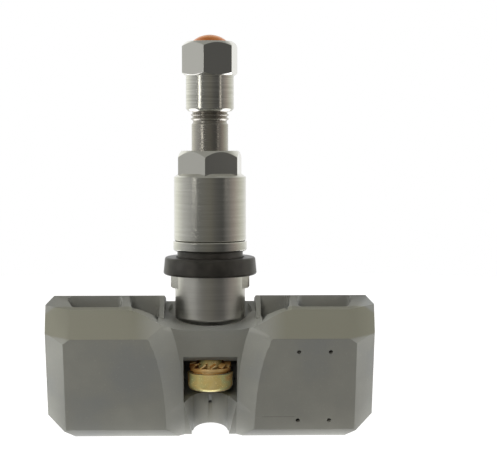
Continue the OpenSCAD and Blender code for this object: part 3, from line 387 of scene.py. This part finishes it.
finishes = {
    # Fine rings on the skirt, and plain flats milled on the hexagon
    "cap_alloy": turned_alloy(
        "turned alloy of the cap", "#dddcd6", "#f8f7f3", rough=0.2, depth_mm=0.0036,
        flats=(36.7, 43.3)),
    "cap_copper": anodised_copper("copper anodised aluminium"),
    # Turned finer than the cap and nut, so its rings hardly show
    "stem_alloy": turned_alloy(
        "turned alloy of the stem", "#f0eeea", "#fbf9f5", rough=0.26, depth_mm=0.001,
        # The neck's darker colour is painted shade, standing in for its dimmer reflection
        painted_neck_shade="#c9c5bf"),
    # Rings round the sleeve, and plain flats milled on the hexagon above it
    "nut_alloy": turned_alloy(
        "turned alloy of the nut", "#e4e3dd", "#f0efea", rough=0.19, depth_mm=0.0024,
        flats=(16.9, 21.4)),
    # Cold headed steel under a thin film: pale gold with green and blue clouds
    "zinc_steel": yellow_zinc(
        "yellow zinc plate on the screw", [
            (0.0, "#f8e6b0"), (0.3, "#ecd48c"), (0.5, "#d3d79c"), (0.65, "#eec380"),
            (0.85, "#bccaa8"), (1.0, "#a7b9c4")],
        rough=0.24, depth_mm=0.002),
    # Stamped steel, zinc plated: deeper gold than the screw, brown in places
    "zinc_washer": yellow_zinc(
        "yellow zinc plate on the washers", [
            (0.0, "#f3d9a4"), (0.35, "#dcae6a"), (0.6, "#a86a34"), (0.8, "#dcc08a"),
            (1.0, "#7f5a3c")],
        rough=0.2, depth_mm=0.004),
    # Turned from bar and left bright: warm yellow metal
    "core_brass": plain_metal("turned brass", "#b98f42", "#dcb669", rough=0.25),
    # Moulded in small rings: dusty dark red
    "gasket_rubber": rubber("red rubber", "#6a1c16", "#7f2e26", rough=0.6),
    # EPDM with carbon black: near black, with a slight shine
    "seal_rubber": rubber("black rubber", "#1b1a18", "#2a2825", rough=0.36),
    # Drawn through a die: bright and even
    "spring_steel": plain_metal("drawn spring wire", "#a9a9a7", "#cfcfcc", rough=0.25),
    # A neutral grey face, and a painted shade on the slopes over it: a darker olive tone that stands in
    # for how the light from above falls on them
    "housing_nylon": moulded_nylon(
        "grey glass filled nylon", "#71726e", "#6c6e6d", "#777873", rough=0.5, slope="#67675d",
        scratch="#4c4d4a"),
    # The housing's stuff in another batch: a little darker
    "cover_nylon": moulded_nylon(
        "darker glass filled nylon", "#646562", "#5f6160", "#696a67", rough=0.52),
    "board_green": solder_mask("green solder mask"),
    # Pressed and plated: a bright smooth can
    "cell_steel": plain_metal(
        "nickel plated steel can", "#bdbdb9", "#dcdbd6", rough=0.3, scale=0.6),
    # Rolled strip: a warmer and duller grey
    "tab_nickel": plain_metal("nickel strip", "#aeaca4", "#cdcbc3", rough=0.35),
    # Moulded round the chip: near black and matt
    "package_black": dull_solid(
        "black moulding epoxy", "#1b1b1a", "#292928", rough=0.55, ior=1.55),
    # Cast and cured: soft orange with a broad, shallow grain
    "port_silicone": dull_solid(
        "orange silicone", "#a8431d", "#bd5a2e", rough=0.6, ior=1.42, scale=1.0),
    # Deep drawn from sheet: pale, faintly warm metal
    "crystal_can": plain_metal("drawn nickel silver can", "#c2c1bb", "#dedcd5", rough=0.28),
    # Pressed from powder and fired: dark grey and rough
    "ferrite": dull_solid(
        "sintered ferrite", "#2e2e30", "#434345", rough=0.7, ior=2.0, scale=4.0, depth_mm=0.02),
    # Drawn and lacquered: red brown
    "copper_wire": plain_metal(
        "enamelled copper wire", "#8c4a1f", "#bd7036", rough=0.3, scale=5.0),
    # Rolled strip: brown gold metal
    "aerial_bronze": plain_metal("phosphor bronze strip", "#a8743f", "#cf9a5e", rough=0.3),
    # Fired blocks: light brown and matt
    "ceramic": dull_solid("fired ceramic", "#8d7452", "#a88c66", rough=0.5, ior=1.7, scale=4.0),
}
slot_of = {part["node"]: part["material_slot"] for part in frame["record"]["subparts"]}
bodies = frame["record"]["behaviour"]["bodies"]
body_of = {node: body for body, members in bodies.items() for node in members}
for name, solid in nodes.items():
    for index in range(len(solid.data.materials)):
        solid.data.materials[index] = finishes[slot_of[name]]


# Pieces

# What counts as the same point, in metres, and as the same plane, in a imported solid's triangles
SAME_POINT = 1e-6
SAME_PLANE = math.radians(0.3)

# The housing's pockets, in mm in its leaning frame: how far out they begin, their rear walls'
# depths and lowest height, how much those walls rise, and over what depth they do
POCKET_BESIDE = 9.1
REAR_WALL = (-4.1, -2.5)
REAR_WALL_ABOVE = -3.4
REAR_WALL_RISE = 0.55
RISE_DEPTH = 1.1

# The stem's lugs, in mm: how far out and between what heights they lie, and what is left of them
LUG_BEYOND = 7.25
LUG_HEIGHTS = (-7.0, -3.5)
LUG_NARROWED = 0.35

# The ring under the collar nut, in mm: its bore, and the drawn in foot and round shoulder of its
# wall, as distances inwards from the wall and from the ring's end
WASHER_BORE = 7.12
WASHER_FOOT = ((0.32, 0.02), (0.16, 0.12), (0.04, 0.42))
WASHER_SHOULDER = ((0.03, 0.3), (0.01, 0.22), (0.08, 0.06), (0.2, 0.01))

# The lock washer, in mm: its ring, and its teeth's size, place over the ring's foot and angles
RING_INSET = 0.02
RING_R = 4.28
RING_T = 0.68
TEETH = 12
FIRST_TOOTH = 0.3
TOOTH_SIZE = (1.3, 1.35, 0.28)
TOOTH_R = 3.62
TOOTH_LIFT = 1.2
TOOTH_TWIST = math.radians(33)
TOOTH_SLANT = math.radians(10)

# How many steps go round a turned ring, the lock washer and the cone on a hexagon's corners
TURNED_STEPS = 96
RING_STEPS = 64
CONE_STEPS = 48


def place_piece(bm, name, node, smooth_below=32):
    """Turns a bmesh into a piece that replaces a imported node, with its finish and its motion."""
    mesh = bpy.data.meshes.new(name)
    bm.to_mesh(mesh)
    bm.free()
    mesh.shade_smooth()
    mesh.set_sharp_from_angle(angle=math.radians(smooth_below))
    mesh.materials.clear()
    mesh.materials.append(finishes[slot_of[node]])
    piece = bpy.data.objects.new(name, mesh)
    bpy.context.scene.collection.objects.link(piece)
    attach(piece, body_of[node])
    piece.modifiers.new("even shading", "WEIGHTED_NORMAL").keep_sharp = True
    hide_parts(node)


def merged_copy(node):
    """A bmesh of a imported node, with its loose triangles joined into whole faces."""
    bm = bmesh.new()
    bm.from_mesh(nodes[node].data)
    bmesh.ops.remove_doubles(bm, verts=bm.verts, dist=SAME_POINT)
    bmesh.ops.dissolve_limit(bm, angle_limit=SAME_PLANE, verts=bm.verts, edges=bm.edges)
    return bm


def soften(bm, width, turn_deg, shortest=0.0):
    """Rounds the edges that turn more than an angle and are longer than a length, in mm."""
    chosen = [e for e in bm.edges
              if len(e.link_faces) == 2 and e.calc_face_angle(0) > math.radians(turn_deg)
              and e.calc_length() > shortest * MM]
    bmesh.ops.bevel(bm, geom=chosen, offset=width * MM, offset_type="OFFSET", segments=2,
                    profile=0.5, affect="EDGES", material=-1, clamp_overlap=True)


def softened_piece(node, name, width, turn_deg, shortest=0.0):
    """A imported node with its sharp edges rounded."""
    bm = merged_copy(node)
    soften(bm, width, turn_deg, shortest)
    place_piece(bm, name, node)


def turn_off_corners(bm, radius, height, slope_deg):
    """Turns a cone off a hexagon's upper corners: a radius at a height, in mm, falling outwards."""
    slope = math.radians(slope_deg)
    for step in range(CONE_STEPS):
        turn = 2 * math.pi * step / CONE_STEPS
        out = Vector((math.cos(turn), math.sin(turn), 0))
        cut = bmesh.ops.bisect_plane(
            bm, geom=bm.verts[:] + bm.edges[:] + bm.faces[:], dist=1e-7,
            plane_co=out * radius * MM + Vector((0, 0, height * MM)),
            plane_no=out * math.sin(slope) + Vector((0, 0, math.cos(slope))), clear_outer=True)
        rim = [e for e in cut["geom_cut"] if isinstance(e, bmesh.types.BMEdge) and e.is_boundary]
        if rim:
            bmesh.ops.holes_fill(bm, edges=rim, sides=0)


def hexagon_piece(node, name, radius, slope_deg):
    """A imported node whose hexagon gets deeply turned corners, with its sharp edges rounded."""
    bm = merged_copy(node)
    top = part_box(node)[1][2] / MM
    turn_off_corners(bm, radius, top, slope_deg)
    soften(bm, 0.07, 20)
    place_piece(bm, name, node)


def leaning(point):
    """A point in mm in the housing's own frame, whose origin is the ball's centre and which leans
    back 16 degrees, turned from the model's frame in metres."""
    x, y, z = point[0] / MM, point[1] / MM, point[2] / MM + BALL_DROP
    return Vector((x, y * LEAN_COS + z * LEAN_SIN, z * LEAN_COS - y * LEAN_SIN))


def housing_piece():
    """The moulded housing: its pockets' rear walls stand a little above their front walls."""
    bm = merged_copy("housing")
    up = Vector((0, -LEAN_SIN, LEAN_COS)) * MM
    front, rear = REAR_WALL
    for vert in bm.verts:
        x, y, z = leaning(vert.co)
        if abs(x) > POCKET_BESIDE and front < y < rear and z > REAR_WALL_ABOVE:
            vert.co += up * REAR_WALL_RISE * min(1.0, (y - front) / RISE_DEPTH)
    soften(bm, 0.12, 22, 0.6)
    place_piece(bm, "housing_moulding", "housing")


def turned(bm, outline):
    """Spins a closed outline of (radius, height) points, in mm, round the stem."""
    verts = [bm.verts.new((r * MM, 0, z * MM)) for r, z in outline]
    edges = [bm.edges.new((verts[i], verts[i - 1])) for i in range(len(verts))]
    bmesh.ops.spin(bm, geom=verts + edges, cent=(0, 0, 0), axis=(0, 0, 1), angle=2 * math.pi,
                   steps=TURNED_STEPS, use_merge=True, use_duplicate=False)
    bmesh.ops.remove_doubles(bm, verts=bm.verts, dist=1e-7)
    bmesh.ops.recalc_face_normals(bm, faces=bm.faces)


def turned_washer():
    """The ring under the collar nut: a straight wall that is drawn in at its foot."""
    bm = bmesh.new()
    low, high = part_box("nut_washer")
    wall, foot, top = high[0] / MM, low[2] / MM, high[2] / MM
    outline = [(wall - inwards, foot + rise) for inwards, rise in WASHER_FOOT]
    outline += [(wall - inwards, top - drop) for inwards, drop in WASHER_SHOULDER]
    bore = [(WASHER_BORE, outline[0][1]), (WASHER_BORE, outline[-1][1])]
    turned(bm, [bore[0], *outline, bore[1]])
    place_piece(bm, "washer_turning", "nut_washer", smooth_below=50)


def stem_piece():
    """The valve stem, with the flanks of its two lugs filed away to the sides."""
    bm = merged_copy("valve_stem")
    foot, top = LUG_HEIGHTS
    for vert in bm.verts:
        out = Vector((vert.co.x, vert.co.y)).length
        if out > LUG_BEYOND * MM and foot * MM < vert.co.z < top * MM:
            vert.co.y *= LUG_NARROWED
            vert.co.x = math.copysign(math.sqrt(out * out - vert.co.y ** 2), vert.co.x)
    soften(bm, 0.05, 40)
    place_piece(bm, "stem_turning", "valve_stem")


def toothed_washer():
    """The lock washer: a ring with slanted, twisted teeth that stand up round its rim."""
    bm = bmesh.new()
    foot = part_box("lock_washer")[0][2] + RING_INSET * MM
    bmesh.ops.create_circle(bm, cap_ends=True, segments=RING_STEPS, radius=RING_R * MM,
                            matrix=Matrix.Translation((0, 0, foot)))
    top = bmesh.ops.extrude_face_region(bm, geom=bm.faces[:], use_keep_orig=True)
    bmesh.ops.translate(bm, verts=[v for v in top["geom"] if isinstance(v, bmesh.types.BMVert)],
                        vec=(0, 0, RING_T * MM))
    place = Matrix.Translation((TOOTH_R * MM, 0, foot + TOOTH_LIFT * MM))
    twist = Matrix.Rotation(TOOTH_TWIST, 4, "X") @ Matrix.Rotation(TOOTH_SLANT, 4, "Y")
    size = Matrix.Diagonal((*(length * MM for length in TOOTH_SIZE), 1))
    for tooth in range(TEETH):
        turn = Matrix.Rotation(2 * math.pi * (tooth + FIRST_TOOTH) / TEETH, 4, "Z")
        bmesh.ops.create_cube(bm, size=1.0, matrix=turn @ place @ twist @ size)
    bmesh.ops.recalc_face_normals(bm, faces=bm.faces)
    soften(bm, 0.05, 40, 0.2)
    place_piece(bm, "toothed_washer", "lock_washer")


housing_piece()
softened_piece("back_cover", "back_cover_moulding", width=0.2, turn_deg=25, shortest=0.6)
hexagon_piece("cap_shell", "cap_turning", radius=4.7, slope_deg=40)
hexagon_piece("collar_nut", "nut_turning", radius=5.8, slope_deg=50)
turned_washer()
softened_piece("rim_seal", "seal_moulding", width=0.05, turn_deg=40)
stem_piece()
softened_piece("fixing_screw", "pan_head_screw", width=0.08, turn_deg=30)
softened_piece("spring_washer", "split_washer", width=0.06, turn_deg=30)
toothed_washer()


# Light, floor and camera, in metres

# What stands round the object, by heading in degrees from the camera's side, positive to the right
TENT = [
    (-180, "#ffffff"), (-130, "#e8e9de"), (-95, "#b8b8b4"), (-60, "#959592"), (-40, "#6c6c69"),
    (0, "#66645c"), (20, "#545350"), (42, "#484846"), (60, "#706e6b"), (85, "#9b928a"),
    (115, "#c4c4b8"), (180, "#ffffff")]
TENT_ROOF = "#8f8f89"

# The floor board: its size, how far the glow on it reaches and behind what depth it begins, how
# bright it is without and with that glow, and how much of the camera's white is its own light
FLOOR_R = 0.35
FLOOR_STEPS = 96
GLOW_REACH = (0.16, 0.08)
GLOW_BEHIND = (-0.0075, -0.003)
GLOW_STRENGTH = (0.8, 2.1)
FLOOR_OWN_LIGHT = 0.93

# What the lamps are turned to: the housing, and the cap and nut
AT_HOUSING = (0, 0, -0.02)
AT_STEM = (0, 0, 0.03)

# The camera: where it stands, how many degrees it looks down and to the right, its focal length
# in the photo's pixels, the photo's width and the width of its own film
CAMERA_PLACE = (0, -0.294, 0.02405)
LOOKS_DOWN = 3.729
LOOKS_RIGHT = 1.521
FOCAL_PIXELS = 1450
PHOTO_WIDTH = 497
FILM_WIDTH = 36.0


def round_the_stem(degrees, distance, height):
    """A place at a heading from the front, a distance from the stem and a height."""
    turn = math.radians(degrees)
    return (distance * math.sin(turn), -distance * math.cos(turn), height)


def soft_lamp(name, size, place, target, energy, colour="#ffffff", shows_in_metal=False):
    """An area lamp of a width and height at a place, turned to face a target."""
    data = bpy.data.lights.new(name, "AREA")
    data.shape = "RECTANGLE"
    data.size, data.size_y = size
    data.energy = energy
    data.color = linear(colour)[:3]
    lamp = bpy.data.objects.new(name, data)
    lamp.location = place
    lamp.rotation_euler = (Vector(target) - Vector(place)).to_track_quat("-Z", "Y").to_euler()
    lamp.visible_camera = False
    lamp.visible_glossy = shows_in_metal
    bpy.context.scene.collection.objects.link(lamp)


def round_the_tent(tree, direction):
    """The tent's colour by heading: dim towards the camera, pale at the sides, white behind."""
    split = add(tree, "ShaderNodeSeparateXYZ", {"Vector": direction})
    front = add(tree, "ShaderNodeMath", {0: split.outputs["Y"], 1: -1.0}, operation="MULTIPLY")
    heading = add(tree, "ShaderNodeMath", {
        0: split.outputs["X"], 1: front.outputs["Value"]}, operation="ARCTAN2")
    share = add(tree, "ShaderNodeMapRange", {
        "Value": heading.outputs["Value"], "From Min": -math.pi, "From Max": math.pi})
    ramp = add(tree, "ShaderNodeValToRGB", {"Fac": share.outputs["Result"]})
    return colour_steps(ramp, [((degrees + 180) / 360, colour) for degrees, colour in TENT])


def light_tent():
    """A world that lights the object as a tent round it does, grey overhead and underneath, and
    that the camera sees as plain white."""
    world = bpy.data.worlds.new("light tent")
    bpy.context.scene.world = world
    world.use_nodes = True
    tree = world.node_tree
    background = tree.nodes["Background"]
    toward = add(tree, "ShaderNodeTexCoord").outputs["Generated"]
    up = add(tree, "ShaderNodeSeparateXYZ", {"Vector": toward}).outputs["Z"]
    steep = add(tree, "ShaderNodeMath", {0: up}, operation="ABSOLUTE")
    roof = add(tree, "ShaderNodeMapRange", {
        "Value": steep.outputs["Value"], "From Min": 0.5, "From Max": 0.85},
        interpolation_type="SMOOTHSTEP")
    tent = add(tree, "ShaderNodeMix", {
        "Factor": roof.outputs["Result"], "A": round_the_tent(tree, toward), "B": linear(TENT_ROOF)},
        data_type="RGBA")
    camera_ray = add(tree, "ShaderNodeLightPath").outputs["Is Camera Ray"]
    shown = add(tree, "ShaderNodeMix", {
        "Factor": camera_ray, "A": tent.outputs["Result"], "B": (1, 1, 1, 1)}, data_type="RGBA")
    tree.links.new(shown.outputs["Result"], background.inputs["Color"])
    background.inputs["Strength"].default_value = 1.0


def board_seen_by_the_object(tree):
    """What lights the object and shows in its metal: the foot of the tent, and a bright glow on
    the board near and behind the object."""
    place = add(tree, "ShaderNodeTexCoord").outputs["Object"]
    split = add(tree, "ShaderNodeSeparateXYZ", {"Vector": place})
    flat = add(tree, "ShaderNodeCombineXYZ", {"X": split.outputs["X"], "Y": split.outputs["Y"]})
    far = add(tree, "ShaderNodeVectorMath", {0: flat.outputs["Vector"]}, operation="LENGTH")
    near = add(tree, "ShaderNodeMapRange", {
        "Value": far.outputs["Value"], "From Min": GLOW_REACH[0], "From Max": GLOW_REACH[1]},
        interpolation_type="SMOOTHSTEP")
    behind = add(tree, "ShaderNodeMapRange", {
        "Value": split.outputs["Y"], "From Min": GLOW_BEHIND[0], "From Max": GLOW_BEHIND[1]},
        interpolation_type="SMOOTHSTEP")
    lit = add(tree, "ShaderNodeMath", {
        0: near.outputs["Result"], 1: behind.outputs["Result"]}, operation="MULTIPLY")
    tone = add(tree, "ShaderNodeMix", {
        "Factor": lit.outputs["Value"], "A": round_the_tent(tree, place), "B": (1, 1, 1, 1)},
        data_type="RGBA")
    strength = add(tree, "ShaderNodeMapRange", {
        "Value": lit.outputs["Value"], "To Min": GLOW_STRENGTH[0], "To Max": GLOW_STRENGTH[1]})
    return add(tree, "ShaderNodeEmission", {
        "Color": tone.outputs["Result"], "Strength": strength.outputs["Result"]})


def pale_floor(height):
    """A round board that the camera sees as white, with the object's faint shadow on it."""
    bm = bmesh.new()
    bmesh.ops.create_circle(bm, cap_ends=True, segments=FLOOR_STEPS, radius=FLOOR_R,
                            matrix=Matrix.Translation((0, 0, height)))
    mesh = bpy.data.meshes.new("floor")
    bm.to_mesh(mesh)
    bm.free()
    floor = bpy.data.objects.new("floor", mesh)
    bpy.context.scene.collection.objects.link(floor)
    material = bpy.data.materials.new("white studio board")
    material.use_nodes = True
    tree = material.node_tree
    tree.nodes.clear()
    table = board_seen_by_the_object(tree)
    glow = add(tree, "ShaderNodeEmission", {"Color": (1, 1, 1, 1), "Strength": FLOOR_OWN_LIGHT})
    faint = add(tree, "ShaderNodeBsdfDiffuse", {"Color": linear("#8a8a8a")})
    white = add(tree, "ShaderNodeAddShader", {0: glow.outputs["Emission"], 1: faint.outputs["BSDF"]})
    seen = add(tree, "ShaderNodeLightPath").outputs["Is Camera Ray"]
    shown = add(tree, "ShaderNodeMixShader", {
        "Fac": seen, 1: table.outputs["Emission"], 2: white.outputs["Shader"]})
    add(tree, "ShaderNodeOutputMaterial", {"Surface": shown.outputs["Shader"]})
    mesh.materials.append(material)


light_tent()
pale_floor(cad_box[0][2])
soft_lamp("key", (0.5, 0.4), round_the_stem(-15, 0.85, 0.32), AT_HOUSING, 5.8, "#fffaf0")
soft_lamp("left side", (0.3, 0.4), round_the_stem(-82, 0.8, 0.05), AT_HOUSING, 12.0)
soft_lamp("right side", (0.3, 0.4), round_the_stem(82, 0.8, 0.05), AT_HOUSING, 12.5)
soft_lamp("left glint", (0.05, 0.03), round_the_stem(-50, 0.32, 0.04), AT_STEM, 0.015, "#fffdf2",
          shows_in_metal=True)
soft_lamp("right glint", (0.03, 0.03), round_the_stem(52, 0.32, 0.04), AT_STEM, 0.003, "#fff6e8",
          shows_in_metal=True)

camera_data = bpy.data.cameras.new("camera")
camera_data.sensor_width = FILM_WIDTH
camera_data.sensor_fit = "HORIZONTAL"
camera_data.lens = FOCAL_PIXELS / PHOTO_WIDTH * FILM_WIDTH
camera_data.clip_start = 0.01
camera = bpy.data.objects.new("camera", camera_data)
camera.location = CAMERA_PLACE
camera.rotation_euler = (math.radians(90 - LOOKS_DOWN), 0, math.radians(-LOOKS_RIGHT))
bpy.context.scene.collection.objects.link(camera)
bpy.context.scene.camera = camera
bpy.context.scene.view_settings.view_transform = "Standard"
